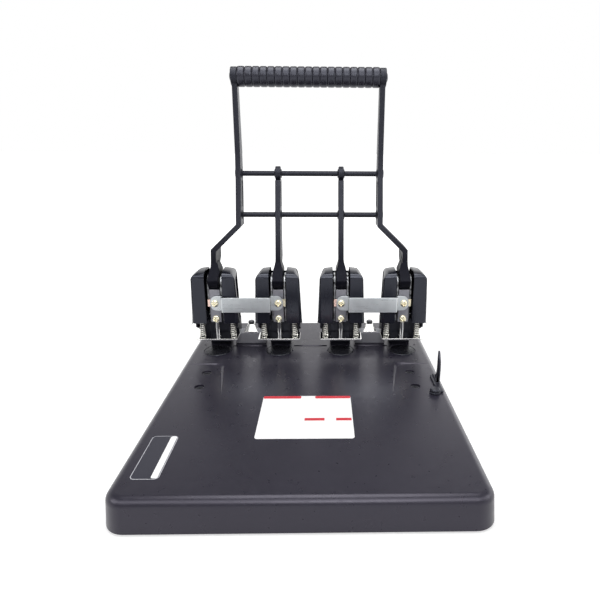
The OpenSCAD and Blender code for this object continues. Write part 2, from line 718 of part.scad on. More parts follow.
// Carriage: a slider with its punch in each head, joined in pairs by a strap
spring_y = (neck_y + web_y) / 2;
lug_z = slider_top - lug_drop;
module slider(i) {
    lug_w = 7;
    lug_t = 6;
    color("#8b8d91") translate([head_x(i), hole_y, 0]) difference() {
        union() {
            translate([-slider_w / 2, -slider_front, slider_z])
                cube([slider_w, slider_front + slider_back, slider_h]);
            translate([-lug_w / 2, 0, lug_z]) cube([lug_w, spring_y + return_spring_d / 2, lug_t]);
        }
        translate([0, 0, slider_z - 1]) cylinder(d = punch_d + 2 * fit_gap, h = punch_seat - slider_z + 1);
        translate([0, -slider_front - 1, strap_z]) y_rod(screw_d + 2 * fit_gap, slider_front + slider_back);
        translate([0, -slider_front - 1, clamp_z]) y_rod(screw_d + 2 * fit_gap, slider_front);
    }
}

// Hollow cutters, sharpened inside at the tip
punch_seat = strap_z - screw_d / 2 - 2;
module punches(heads) {
    lip = 0.3;
    edge = punch_d / 2 - lip;
    color("#d9dbdd") for (i = heads) translate([head_x(i), hole_y, 0]) rotate_extrude()
        polygon([[edge, tip_z], [punch_d / 2, tip_z], [punch_d / 2, punch_seat], [punch_bore / 2, punch_seat],
                 [punch_bore / 2, tip_z + 3 * (edge - punch_bore / 2)]]);
}

clip_t = 1;
pad_y = -slider_front - clip_t;
strap_y = -cover_front - strap_ahead;
module strap(heads) {
    left = head_x(heads[0]);
    right = head_x(heads[1]);
    leg = slot_w / 2 - 0.4;
    tail = 6;
    end_r = 8;
    back = [[left - tail, pad_y], [left + leg, pad_y], [left + leg, strap_y],
            [right - leg, strap_y], [right - leg, pad_y], [right + tail, pad_y]];
    front = [[right + tail, pad_y - strap_t], [right - leg + strap_t, pad_y - strap_t],
             [right - leg + strap_t, strap_y - strap_t], [left + leg - strap_t, strap_y - strap_t],
             [left + leg - strap_t, pad_y - strap_t], [left - tail, pad_y - strap_t]];
    color("#b4b7ba") translate([0, hole_y, strap_z]) difference() {
        intersection() {
            linear_extrude(strap_h, center = true) polygon(concat(back, front));
            translate([(left + right) / 2, 0, 0]) front_plate(2 * cover_l)
                round_rect(right - left + 2 * tail, strap_h, end_r);
        }
        for (x = [left, right]) translate([x, pad_y - strap_t - 1, 0])
            y_rod(screw_d + 2 * fit_gap, strap_t + 2);
    }
}

// Small plated clips under the strap ends, showing beside the screws
module strap_clips(heads) {
    inner = 6;
    outer = 9.4;
    height = 9.4;
    color("#c2a878") for (k = [0, 1]) translate([head_x(heads[k]), hole_y, strap_z])
        mirror([k, 0, 0]) difference() {
            translate([-outer, pad_y, -height / 2]) cube([outer + inner, clip_t, height]);
            translate([0, pad_y - 1, 0]) y_rod(screw_d + 2 * fit_gap, clip_t + 2);
        }
}

module carriage_screws(heads) {
    color("#c9b36a") for (i = heads) translate([head_x(i), hole_y, 0]) {
        translate([0, pad_y - strap_t, strap_z]) cross_screw(strap_t + clip_t + slider_front + 4);
        translate([0, -slider_front, clamp_z]) cross_screw(slider_front - punch_d / 2 - fit_gap);
    }
}

// Pressure plates hang on two posts each and are pushed down by two springs
module pressure_plate(i) {
    back = hole_margin - 0.5;
    color("#d2d4d6") translate([head_x(i), hole_y, plate_z]) difference() {
        translate([0, (back - plate_front) / 2, 0]) linear_extrude(plate_t)
            round_rect(plate_w, back + plate_front, 1.5);
        translate([0, 0, -1]) cylinder(d = punch_d + 2 * slide_gap, h = plate_t + 2);
        for (x = [-1, 1]) translate([x * post_x, 0, -1]) cylinder(d = post_d + 2 * fit_gap, h = plate_t + 2);
    }
}

module guide_posts(i) {
    clip_h = 1.5;
    color("#cfd1d3") translate([head_x(i), hole_y, 0]) for (x = [-1, 1]) translate([x * post_x, 0, 0]) {
        translate([0, 0, plate_z]) cylinder(d = post_d, h = ear_z + ear_t + clip_h + 1 - plate_z);
        translate([0, 0, ear_z + ear_t]) cylinder(d = post_d + 2.6, h = clip_h);
    }
}

// Coil springs: one tube along a helix, its two ends straight up and down
wire_sides = 6;
curl_rings = 8;
function coil_path(d, h, wire, curls) = let (lead = wire * 1.6, turns = curls * curl_rings) concat(
    [[d / 2, 0, 0], [d / 2, 0, wire]],
    [for (k = [1:turns - 1]) let (a = 360 * k / curl_rings)
        [d / 2 * cos(a), d / 2 * sin(a), lead + (h - 2 * lead) * k / turns]],
    [[d / 2, 0, h - wire], [d / 2, 0, h]]);
function ahead(path, k) = let (last = len(path) - 1)
    k <= 1 || k >= last - 1 ? [0, 0, 1] : path[k + 1] - path[k - 1];
function ring(path, k, wire) = let (t = ahead(path, k) / norm(ahead(path, k)),
        out = [path[k][0], path[k][1], 0] / norm([path[k][0], path[k][1], 0]),
        side = cross(t, out) / norm(cross(t, out)), up = cross(side, t))
    [for (n = [0:wire_sides - 1]) let (a = 360 * n / wire_sides)
        path[k] + wire / 2 * (up * cos(a) + side * sin(a))];

module coil(d, h, wire, curls) {
    path = coil_path(d, h, wire, curls);
    n = len(path);
    m = wire_sides;
    points = [for (k = [0:n - 1]) each ring(path, k, wire)];
    walls = [for (k = [0:n - 2], j = [0:m - 1]) let (a = k * m + j, b = k * m + (j + 1) % m)
        each [[a, a + m, b + m], [a, b + m, b]]];
    ends = [for (j = [1:m - 2]) each [[0, j, j + 1], [(n - 1) * m, (n - 1) * m + j + 1, (n - 1) * m + j]]];
    polyhedron(points, concat(walls, ends));
}

// Least gap between points of a coil that are more than half a curl apart along the wire
function coil_gap(path, wire) = min([for (j = [0:len(path) - 1])
    for (k = [j + curl_rings / 2 + 1:1:len(path) - 1]) norm(path[j] - path[k])]) - wire;
echo(plate_spring_gap = coil_gap(
    coil_path(plate_spring_d, plate_spring_h, plate_wire, plate_spring_curls), plate_wire));
echo(return_spring_gap = coil_gap(
    coil_path(return_spring_d, lug_z - ear_z, return_wire, return_curls), return_wire));

module plate_springs(i) {
    color("#cdc7b2") for (x = [-1, 1]) translate([head_x(i) + x * post_x, hole_y, plate_top])
        coil(plate_spring_d, plate_spring_h, plate_wire, plate_spring_curls);
}

module return_springs(heads) {
    color("#9fa2a6") for (i = heads) translate([head_x(i), hole_y + spring_y, ear_z])
        rotate([0, 0, 90]) coil(return_spring_d, lug_z - ear_z, return_wire, return_curls);
}

base_cover();
bottom_plate();
feet();
base_screws();
head_rail();
rail_bolts();
pocket_screws();
punch_discs();
cheek_brackets();
pivot_pins();
cover_screws();
paper_stops();
stop_brackets();
stop_knobs();
side_guide();
guide_knob();
cross_rod(rod_low);  // cross_rod_lower
cross_rod(rod_high);  // cross_rod_upper
handle_rod();
handle_grip();
handle_bolts();
punches([0, 1]);  // punches_left
punches([2, 3]);  // punches_right
strap([0, 1]);  // strap_left
strap([2, 3]);  // strap_right
strap_clips([0, 1]);  // strap_clips_left
strap_clips([2, 3]);  // strap_clips_right
carriage_screws([0, 1]);  // carriage_screws_left
carriage_screws([2, 3]);  // carriage_screws_right
return_springs([0, 1]);  // return_springs_left
return_springs([2, 3]);  // return_springs_right
for (i = HEADS) {
    head_casting(i);
    head_cover(i);
    lever_arm(i);
    slider(i);
    pressure_plate(i);
    guide_posts(i);
    plate_springs(i);
}
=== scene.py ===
# %% [markdown]
# # A heavy-duty four-hole punch
#
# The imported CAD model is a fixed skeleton: it holds every size, every piece and every joint. This lesson dresses
# it. We set up the photograph's camera and a white studio, mix the finishes as shader nodes, mould the covers and
# round the edges of the rigid pieces, wind real springs, turn the grip and the screws, stick two blank labels on
# the deck and close the castings below the covers.

# %% Load the frame
import json
import math

import bmesh
import bpy
import numpy as np
from mathutils import Matrix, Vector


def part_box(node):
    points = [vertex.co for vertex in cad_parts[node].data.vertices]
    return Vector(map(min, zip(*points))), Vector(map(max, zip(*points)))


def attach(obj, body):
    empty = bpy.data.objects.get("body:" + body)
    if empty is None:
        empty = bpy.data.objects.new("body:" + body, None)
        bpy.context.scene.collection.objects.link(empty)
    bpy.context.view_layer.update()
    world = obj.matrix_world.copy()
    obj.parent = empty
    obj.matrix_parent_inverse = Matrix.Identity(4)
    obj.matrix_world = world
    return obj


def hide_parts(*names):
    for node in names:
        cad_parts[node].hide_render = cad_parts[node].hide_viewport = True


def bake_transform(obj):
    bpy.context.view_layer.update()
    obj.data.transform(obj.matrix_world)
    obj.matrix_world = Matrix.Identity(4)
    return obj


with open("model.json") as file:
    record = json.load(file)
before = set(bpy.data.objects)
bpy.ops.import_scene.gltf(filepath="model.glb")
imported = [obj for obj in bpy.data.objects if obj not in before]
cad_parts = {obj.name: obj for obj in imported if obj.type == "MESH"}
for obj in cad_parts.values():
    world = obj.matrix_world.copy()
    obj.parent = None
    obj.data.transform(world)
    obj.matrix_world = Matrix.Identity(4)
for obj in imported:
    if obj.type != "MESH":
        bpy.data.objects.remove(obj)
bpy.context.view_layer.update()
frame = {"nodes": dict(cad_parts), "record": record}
MM = 0.001
DECK_Z = 30.5
HEADS = (1, 2, 3, 4)
SIDES = {"left": (1, 2), "right": (3, 4)}

# %% [markdown]
# ## Camera
#
# A product shot is easiest to match when the camera is solved first. The four holes lie 80 mm apart, so their
# row, the base's edges and the grip fix the focal length and the place of the eye. The picture was cropped after
# it was taken, so the lens axis isn't at the middle of the frame: a small shift stands for the crop.

# %% Place the camera
PICTURE = 600
SENSOR_MM = 36.0
FOCAL_PX = 488.64
AXIS_PX = (333.32, 301.93)
EYE_MM = (17.37, -500.0, 289.58)
YAW, PITCH, ROLL = (math.radians(angle) for angle in (1.228, 18.168, -0.334))


def camera_axes(yaw, pitch, roll):
    """Right, up and forward of a camera: forward from yaw and pitch, right level and then rolled about it."""
    flat = math.cos(pitch)
    forward = np.array([math.sin(yaw) * flat, math.cos(yaw) * flat, -math.sin(pitch)])
    level = np.array([math.cos(yaw), -math.sin(yaw), 0.0])
    right = level * math.cos(roll) + np.cross(forward, level) * math.sin(roll)
    return right, np.cross(right, forward), forward


right, up, forward = camera_axes(YAW, PITCH, ROLL)
lens = bpy.data.cameras.new("photo_camera")
lens.sensor_width = SENSOR_MM
lens.lens = FOCAL_PX * SENSOR_MM / PICTURE
lens.shift_x = (PICTURE / 2 - AXIS_PX[0]) / PICTURE
lens.shift_y = (AXIS_PX[1] - PICTURE / 2) / PICTURE
lens.clip_start = 0.01
camera = bpy.data.objects.new("photo_camera", lens)
bpy.context.scene.collection.objects.link(camera)
turned = Matrix(np.column_stack([right, up, -forward]).tolist()).to_4x4()
camera.matrix_world = Matrix.Translation(np.array(EYE_MM) * MM) @ turned
bpy.context.scene.camera = camera
print("camera: lens", round(lens.lens, 2), "mm, shift", round(lens.shift_x, 4), round(lens.shift_y, 4))

# %% [markdown]
# ## Shader helpers
#
# Shader trees get long when every node takes four lines. One helper adds a node and fills its sockets: a value is
# written on the socket, and another node's output is linked to it. Three more give the result of the nodes that come
# back most: a mix of colours, a sum or product, and a range carried over to another.

# %% Node helpers


def add(tree, kind, settings=None, **sockets):
    """Adds a node of a kind, sets its properties, and fills each named socket by value or by link."""
    node = tree.nodes.new(kind)
    for name, value in (settings or {}).items():
        setattr(node, name, value)
    for name, value in sockets.items():
        socket = node.inputs[name.replace("_", " ")]
        if isinstance(value, bpy.types.NodeSocket):
            tree.links.new(value, socket)
        else:
            socket.default_value = value
    return node


def mixed(tree, factor, first, second):
    """The colour that lies between two colours, at the factor."""
    node = add(tree, "ShaderNodeMix", {"data_type": "RGBA"})
    for index, value in ((0, factor), (6, first), (7, second)):
        if isinstance(value, bpy.types.NodeSocket):
            tree.links.new(value, node.inputs[index])
        else:
            node.inputs[index].default_value = value
    return node.outputs[2]


def math_of(tree, operation, first, second):
    """A Math node's value for two inputs, each a number or a socket."""
    node = add(tree, "ShaderNodeMath", {"operation": operation})
    for socket, value in zip(node.inputs, (first, second)):
        if isinstance(value, bpy.types.NodeSocket):
            tree.links.new(value, socket)
        else:
            socket.default_value = value
    return node.outputs[0]


def ranged(tree, value, span, to=(0.0, 1.0), smooth=False):
    """A Map Range node's result: the value carried from one span to another, evenly or by a smooth step."""
    node = add(tree, "ShaderNodeMapRange", {"interpolation_type": "SMOOTHSTEP" if smooth else "LINEAR"}, Value=value,
               From_Min=span[0], From_Max=span[1], To_Min=to[0], To_Max=to[1])
    return node.outputs["Result"]


def opaque(colour):
    """A colour of three numbers with full alpha."""
    return (*colour, 1.0)


def new_material(name):
    """An empty node material and its tree."""
    material = bpy.data.materials.new(name)
    material.use_nodes = True
    material.node_tree.nodes.clear()
    return material, material.node_tree


# %% [markdown]
# ## White floor
#
# The machine stands on a white sweep. Under lamps alone a white plane turns grey away from them, and a plane that
# only glows has no shadow. So this floor is both: a lit white surface, which keeps the contact shadow, and a glow that
# only the eye and the reflections see and that grows to full white further out.

# %% Lay the floor
FLOOR_LIT, FLOOR_GLOW = 0.64, 0.51
FLOOR_SPAN, FLOOR_HALF = (0.35, 1.1), 12.0


def seen_directly(tree):
    """One for rays from the eye, a reflection or a clear body, and zero for light that spreads."""
    path = add(tree, "ShaderNodeLightPath")
    shown = math_of(tree, "ADD", path.outputs["Is Camera Ray"], path.outputs["Is Glossy Ray"])
    shown = math_of(tree, "ADD", shown, path.outputs["Is Transmission Ray"])
    return math_of(tree, "MINIMUM", shown, 1.0)


def studio_floor():
    """A plane far wider than the view: lit white plus a glow that only direct rays see and that grows to white."""
    material, tree = new_material("studio_white")
    spot = add(tree, "ShaderNodeTexCoord").outputs["Object"]
    reach = add(tree, "ShaderNodeVectorMath", {"operation": "LENGTH"})
    tree.links.new(spot, reach.inputs[0])
    level = ranged(tree, reach.outputs["Value"], FLOOR_SPAN, (FLOOR_GLOW, 1.0), smooth=True)
    lit = add(tree, "ShaderNodeBsdfDiffuse", Color=opaque((FLOOR_LIT,) * 3))
    glow = add(tree, "ShaderNodeEmission", Color=opaque((1, 1, 1)),
               Strength=math_of(tree, "MULTIPLY", seen_directly(tree), level))
    both = add(tree, "ShaderNodeAddShader")
    tree.links.new(lit.outputs[0], both.inputs[0])
    tree.links.new(glow.outputs[0], both.inputs[1])
    add(tree, "ShaderNodeOutputMaterial", Surface=both.outputs[0])
    corners = [(FLOOR_HALF * x, FLOOR_HALF * y, 0) for x, y in ((-1, -1), (1, -1), (1, 1), (-1, 1))]
    mesh = bpy.data.meshes.new("studio_floor")
    mesh.from_pydata(corners, [], [(0, 1, 2, 3)])
    mesh.materials.append(material)
    floor = bpy.data.objects.new("studio_floor", mesh)
    bpy.context.scene.collection.objects.link(floor)


studio_floor()
print("floor:", 2 * FLOOR_HALF, "m wide")

# %% [markdown]
# ## Room for reflections
#
# Black plastic and bright plate show what stands round them. Lit cards could stand there, but a few ranges over the
# direction of view do the same without any pieces. Reflections see bright walls behind, a darker ceiling round the
# soft box, and a dark side where the eye stands. Glossy plastic needs both, a bright wall for its flat tops and a dark
# ceiling beside the streak that the soft box draws along an edge. A window high in front, which only reflections see,
# gives the grip, the springs and the plated brackets their highlights.

# %% Build the room
WORLD_LIGHT, WORLD_FRONT = 0.42, 0.36
ROOM_SPAN, ROOM_LIFT = (-0.75, 0.55), 0.9
WALL_SHINE, CEILING_SHINE = 1.45, 0.32
WALL_TOP, CEILING_LOW = 0.34, 0.62
WALL_LEFT, WALL_RIGHT, WALL_SPAN = 0.70, 1.35, (-0.5, 0.5)
WINDOW_SHINE, WINDOW_AHEAD, WINDOW_ABOVE = 2.8, (-0.5, -0.3), (0.48, 0.62)


def studio_world():
    """White to the eye. Reflections see bright walls behind, a dark ceiling, and a dark front with a high window."""
    world = bpy.data.worlds.new("studio_world")
    bpy.context.scene.world = world
    world.use_nodes = True
    tree = world.node_tree
    tree.nodes.clear()
    path = add(tree, "ShaderNodeLightPath")
    x, y, z = add(tree, "ShaderNodeSeparateXYZ", Vector=add(tree, "ShaderNodeTexCoord").outputs["Generated"]).outputs
    rise = math_of(tree, "ADD", y, math_of(tree, "MULTIPLY", z, ROOM_LIFT))
    room = ranged(tree, rise, ROOM_SPAN, (WORLD_FRONT, 1.0), smooth=True)
    lit = math_of(tree, "MULTIPLY", room, WORLD_LIGHT)
    height = ranged(tree, z, (WALL_TOP, CEILING_LOW), (WALL_SHINE, CEILING_SHINE), smooth=True)
    side = ranged(tree, x, WALL_SPAN, (WALL_LEFT, WALL_RIGHT))
    shine = math_of(tree, "MULTIPLY", math_of(tree, "MULTIPLY", room, height), side)
    ahead = ranged(tree, y, WINDOW_AHEAD, (WINDOW_SHINE, 0.0), smooth=True)
    window = math_of(tree, "MULTIPLY", ahead, ranged(tree, z, WINDOW_ABOVE, smooth=True))
    shine = math_of(tree, "ADD", shine, window)
    mirrored = add(tree, "ShaderNodeMix", Factor=path.outputs["Is Glossy Ray"], A=lit, B=shine)
    strength = add(tree, "ShaderNodeMix", Factor=path.outputs["Is Camera Ray"], A=mirrored.outputs[0], B=1.0)
    glow = add(tree, "ShaderNodeBackground", Color=opaque((1, 1, 1)), Strength=strength.outputs[0])
    add(tree, "ShaderNodeOutputWorld", Surface=glow.outputs[0])


studio_world()
print("room: walls", WALL_SHINE, "ceiling", CEILING_SHINE, "window", WINDOW_SHINE)

# %% [markdown]
# ## Soft boxes
#
# Four square lamps light the machine: a strong one above, and weaker ones in front and on both sides. A sun or a spot
# would draw hard shadows. The wider a lamp is, the softer its shadow, so each is much wider than a head.

# %% Hang the soft boxes
LAMP_AIM, NEARLY_UPRIGHT = (0, 0, 0.1), 0.99
SOFT_BOXES = {"top_softbox": ((0.0, 0.12, 1.7), 1.1, 17), "front_softbox": ((0.1, -1.7, 1.25), 0.7, 7),
              "left_softbox": ((-1.5, -0.7, 1.0), 0.9, 8), "right_softbox": ((1.6, -0.5, 0.9), 0.8, 5)}


def facing(back):
    """Three unit axes whose third points along back, the first level."""
    third = back / np.linalg.norm(back)
    first = np.cross((0.0, 1.0, 0.0) if abs(third[2]) > NEARLY_UPRIGHT else (0.0, 0.0, 1.0), third)
    first = first / np.linalg.norm(first)
    return first, np.cross(third, first), third


def softbox(name, place, size, watts):
    """A square area lamp at a place, turned so that its face looks at the machine. Lengths are in metres."""
    lamp = bpy.data.lights.new(name, "AREA")
    lamp.size, lamp.energy = size, watts
    box = bpy.data.objects.new(name, lamp)
    bpy.context.scene.collection.objects.link(box)
    axes = facing(np.array(place) - np.array(LAMP_AIM))
    box.matrix_world = Matrix.Translation(place) @ Matrix(np.column_stack(axes).tolist()).to_4x4()


for name, settings in SOFT_BOXES.items():
    softbox(name, *settings)
bpy.context.scene.view_settings.view_transform = "Standard"
print("soft boxes:", len(SOFT_BOXES))

# %% [markdown]
# ## Shared surface effects
#
# The finishes differ in colour and gloss, but the same few effects make them believable: a fine grain that breaks
# the gloss, a slow drift of tone, and lines left by brushing or rolling. Each effect is a node group with named
# sockets, built once and placed in many materials.

# %% Node groups
GRAIN_SPAN, DRIFT_SPAN, SLOW_SHARE = (0.3, 0.7), (0.35, 0.65), 0.1


def new_group(name, inputs, outputs):
    """A shader group with sockets given as name: type, and what its inner nodes give and take by those names."""
    group = bpy.data.node_groups.new(name, "ShaderNodeTree")
    for side, sockets in (("INPUT", inputs), ("OUTPUT", outputs)):
        for label, kind in sockets.items():
            group.interface.new_socket(label, in_out=side, socket_type="NodeSocket" + kind)
    return group, group.nodes.new("NodeGroupInput").outputs, group.nodes.new("NodeGroupOutput").inputs


def grain_group():
    """Height is noise at the scale. Roughness runs between two values with noise at a tenth of the scale."""
    group, given, made = new_group("fine_grain", {"Vector": "Vector", "Scale": "Float", "Low": "Float",
                                                  "High": "Float"}, {"Roughness": "Float", "Height": "Float"})
    fine = add(group, "ShaderNodeTexNoise", Vector=given["Vector"], Scale=given["Scale"], Detail=3.0)
    slow = add(group, "ShaderNodeTexNoise", Vector=given["Vector"], Detail=2.0,
               Scale=math_of(group, "MULTIPLY", given["Scale"], SLOW_SHARE))
    rough = ranged(group, slow.outputs[0], GRAIN_SPAN, (given["Low"], given["High"]))
    group.links.new(rough, made["Roughness"])
    group.links.new(fine.outputs[0], made["Height"])
    return group


def drift_group():
    """The colour wanders between two tones with slow noise."""
    group, given, made = new_group("tone_drift", {"Vector": "Vector", "Scale": "Float", "First": "Color",
                                                  "Second": "Color"}, {"Colour": "Color"})
    slow = add(group, "ShaderNodeTexNoise", Vector=given["Vector"], Scale=given["Scale"], Detail=4.0)
    spread = ranged(group, slow.outputs[0], DRIFT_SPAN)
    group.links.new(mixed(group, spread, given["First"], given["Second"]), made["Colour"])
    return group


def brush_group():
    """Noise on a stretched grid makes lines along the axis with the smallest stretch."""
    group, given, made = new_group("brush_lines", {"Vector": "Vector", "Stretch": "Vector", "Low": "Float",
                                                   "High": "Float"}, {"Roughness": "Float", "Height": "Float"})
    pulled = add(group, "ShaderNodeVectorMath", {"operation": "MULTIPLY"})
    group.links.new(given["Vector"], pulled.inputs[0])
    group.links.new(given["Stretch"], pulled.inputs[1])
    lines = add(group, "ShaderNodeTexNoise", Vector=pulled.outputs[0], Scale=1.0, Detail=4.0)
    rough = ranged(group, lines.outputs[0], GRAIN_SPAN, (given["Low"], given["High"]))
    group.links.new(rough, made["Roughness"])
    group.links.new(lines.outputs[0], made["Height"])
    return group


GRAIN, DRIFT, BRUSH = grain_group(), drift_group(), brush_group()
print("groups:", GRAIN.name, DRIFT.name, BRUSH.name)

# %% [markdown]
# ## Two recipes
#
# Two recipes cover the machine. A coat is a paint, plastic or rubber: a dark colour that drifts a little, with a
# grain that breaks its gloss. A plate is bare or plated metal: its lines give the roughness and a faint relief.
# The scale of a grain counts waves per metre, so 900 is about a millimetre. In the photograph the black coats shine
# a little blue, the lever is darker low down, and the covers' sides stay dark although they are seen aslant, where a
# plain coat would mirror the white room. So the sheen has a tint and can fade with height or with the angle. Both
# fades are painted shade, on the lower lever and on the covers' sides.

# %% Recipes for coats and plates
SHEEN, DECK_SHEEN = (0.82, 0.86, 1.0), (0.90, 0.86, 1.0)
FULL_GLEAM, HEIGHT_GLEAM = 0.5, (0.05, 0.36)


def placed(tree, group, **sockets):
    """A node that places a shared group in a material."""
    return add(tree, "ShaderNodeGroup", {"node_tree": group}, **sockets)


def coat(name, first, second, gloss, grain, relief, drift=14.0, painted_shade_heights=None, painted_shade_aslant=None, **shader):
    """Paint, plastic or rubber: two tones, a range of roughness, grain waves per metre and relief in mm.

    The sheen is a little blue. As painted shade, it grows from weak to full between two heights in mm
    (painted_shade_heights), or fades where the surface is seen aslant, between two values of 1 - cos
    (painted_shade_aslant).
    """
    material, tree = new_material(name)
    spot = add(tree, "ShaderNodeTexCoord").outputs["Object"]
    shader.setdefault("Specular_Tint", opaque(SHEEN))
    # Painted shade: the sheen is weaker towards the bottom.
    if painted_shade_heights:
        height = add(tree, "ShaderNodeSeparateXYZ", Vector=spot).outputs["Z"]
        shader["Specular_IOR_Level"] = ranged(tree, height, [z * MM for z in painted_shade_heights], HEIGHT_GLEAM)
    # Painted shade: the sheen fades where the surface is seen aslant.
    if painted_shade_aslant:
        aslant = add(tree, "ShaderNodeLayerWeight", Blend=0.5).outputs["Facing"]
        shader["Specular_IOR_Level"] = ranged(tree, aslant, painted_shade_aslant, (FULL_GLEAM, 0.0))
    tone = placed(tree, DRIFT, Vector=spot, Scale=drift, First=opaque(first), Second=opaque(second))
    skin = placed(tree, GRAIN, Vector=spot, Scale=grain, Low=gloss[0], High=gloss[1])
    bump = add(tree, "ShaderNodeBump", Strength=1.0, Distance=relief * MM, Height=skin.outputs["Height"])
    body = add(tree, "ShaderNodeBsdfPrincipled", Base_Color=tone.outputs["Colour"],
               Roughness=skin.outputs["Roughness"], Normal=bump.outputs["Normal"], **shader)
    add(tree, "ShaderNodeOutputMaterial", Surface=body.outputs[0])
    return material


def plate(name, first, second, gloss, stretch, relief, drift=60.0, metal=1.0):
    """Metal: two tones, a range of roughness, line waves per metre along X, Y and Z, relief in mm, share of metal."""
    material, tree = new_material(name)
    spot = add(tree, "ShaderNodeTexCoord").outputs["Object"]
    tone = placed(tree, DRIFT, Vector=spot, Scale=drift, First=opaque(first), Second=opaque(second))
    skin = placed(tree, BRUSH, Vector=spot, Stretch=stretch, Low=gloss[0], High=gloss[1])
    bump = add(tree, "ShaderNodeBump", Strength=1.0, Distance=relief * MM, Height=skin.outputs["Height"])
    body = add(tree, "ShaderNodeBsdfPrincipled", Base_Color=tone.outputs["Colour"], Metallic=metal,
               Roughness=skin.outputs["Roughness"], Normal=bump.outputs["Normal"])
    add(tree, "ShaderNodeOutputMaterial", Surface=body.outputs[0])
    return material


# %% [markdown]
# ## Finishes
#
# Every slot of the record gets a finish. The blacks look alike at first sight, but the deck is a satin powder coat,
# the castings are dull, the covers glossy and the grip is rubber, so each has its own gloss and grain. Scanned
# textures could give them, but noise has no seams and no edge of a picture. A few pieces differ from the rest of their
# slot and get a finish of their own: the lever, the cheeks, the small knobs and one clip of each pair.

# %% Mix the finishes
FINISH = {
    "deck_paint": coat("deck_paint", (0.0185, 0.0170, 0.0265), (0.0225, 0.0210, 0.0315), (0.27, 0.34), 1400, 0.005,
                       Specular_Tint=opaque(DECK_SHEEN)),
    "cast_black": coat("cast_black", (0.008, 0.008, 0.013), (0.011, 0.011, 0.017), (0.40, 0.50), 700, 0.015,
                       Specular_IOR_Level=0.30),
    # The covers' sheen fades where they are seen aslant: painted shade on their sides.
    "cover_plastic": coat("cover_plastic", (0.008, 0.0085, 0.015), (0.011, 0.0115, 0.019), (0.13, 0.18), 2200, 0.003,
                          painted_shade_aslant=(0.55, 0.88)),
    "guide_plastic": coat("guide_plastic", (0.020, 0.020, 0.028), (0.026, 0.026, 0.034), (0.30, 0.40), 1800, 0.008),
    "stop_plastic": coat("stop_plastic", (0.28, 0.28, 0.31), (0.33, 0.33, 0.36), (0.40, 0.50), 1500, 0.01),
    "disc_plastic": coat("disc_plastic", (0.008, 0.008, 0.011), (0.012, 0.012, 0.015), (0.24, 0.34), 1600, 0.008),
    "grip_rubber": coat("grip_rubber", (0.014, 0.013, 0.020), (0.019, 0.018, 0.026), (0.28, 0.36), 1600, 0.01),
    "foot_rubber": coat("foot_rubber", (0.008, 0.008, 0.008), (0.012, 0.012, 0.012), (0.60, 0.75), 900, 0.03),
    "black_screw": coat("black_screw", (0.016, 0.016, 0.018), (0.028, 0.028, 0.032), (0.26, 0.36), 1800, 0.006),
    "bare_steel": plate("bare_steel", (0.40, 0.41, 0.42), (0.50, 0.51, 0.52), (0.34, 0.48), (40, 900, 900), 0.006),
    "zinc_steel": plate("zinc_steel", (0.55, 0.58, 0.60), (0.64, 0.67, 0.69), (0.26, 0.38), (30, 900, 1600), 0.004),
    "slider_steel": plate("slider_steel", (0.23, 0.23, 0.26), (0.30, 0.30, 0.33), (0.36, 0.48), (900, 900, 60), 0.006),
    "nickel_plate": plate("nickel_plate", (0.82, 0.82, 0.81), (0.90, 0.90, 0.88), (0.06, 0.12), (60, 400, 400), 0.002),
    "polished_steel": plate("polished_steel", (0.22, 0.22, 0.23), (0.30, 0.30, 0.31), (0.06, 0.12),
                            (300, 300, 40), 0.002),
    "yellow_zinc": plate("yellow_zinc", (0.80, 0.72, 0.52), (0.92, 0.89, 0.72), (0.16, 0.26), (300, 300, 300), 0.003),
    "spring_wire": plate("spring_wire", (0.94, 0.92, 0.84), (0.98, 0.97, 0.92), (0.16, 0.26), (300, 300, 300), 0.002,
                         metal=0.6),
}
# The lever's sheen fades towards its foot: painted shade on its lower part.
LEVER_BLACK = coat("lever_black", (0.009, 0.009, 0.014), (0.012, 0.012, 0.018), (0.38, 0.48), 700, 0.015,
                   painted_shade_heights=(140, 185))
# The cheeks' tone wanders between bright zinc and near black. The zinc is real, and the near-black patches are painted
# shade of the slot that break the bright edges into short glints.
CHEEK_ZINC_AND_SHADE = plate("cheek_zinc_and_shade", (0.02, 0.02, 0.022), (0.45, 0.46, 0.48), (0.30, 0.42), (200, 200, 200), 0.004,
                   drift=150.0)
COPPER_CLIP = plate("copper_clip", (0.84, 0.58, 0.50), (0.92, 0.70, 0.62), (0.20, 0.30), (300, 300, 300), 0.003)
KNOB_GREY = coat("knob_grey", (0.11, 0.11, 0.12), (0.14, 0.14, 0.15), (0.30, 0.40), 1500, 0.01)
SPECIAL = {"lever_arm": LEVER_BLACK, "cross_rod": LEVER_BLACK, "cheek_brackets": CHEEK_ZINC_AND_SHADE, "stop_knobs": KNOB_GREY}
print("finishes:", len(FINISH), "for the slots and", len(SPECIAL), "special rows")

# %% [markdown]
# ## Finishes on the nodes
#
# The record says which slot a node has and which body carries it. Two look-up tables keep this for later cells, and
# each CAD node gets the finish of its slot in place of the plain one it came with.

# %% Put the finishes on
SLOT_OF = {row["node"]: row["material_slot"] for row in frame["record"]["subparts"]}
BODY_OF = {node: body for body, nodes in frame["record"]["behaviour"]["bodies"].items() for node in nodes}
for node, piece in frame["nodes"].items():
    piece.data.materials.clear()
    piece.data.materials.append(FINISH[SLOT_OF[node]])

# %% [markdown]
# ## Merged copies
#
# The CAD meshes come as loose triangles, which no modifier can round. A merged copy of a node joins them to larger
# faces, takes the node's finish and stands for it. The pieces that show get a copy, and the table says how wide the
# round of their edges is: a few tenths of a millimetre on sheet and mouldings, more on castings.

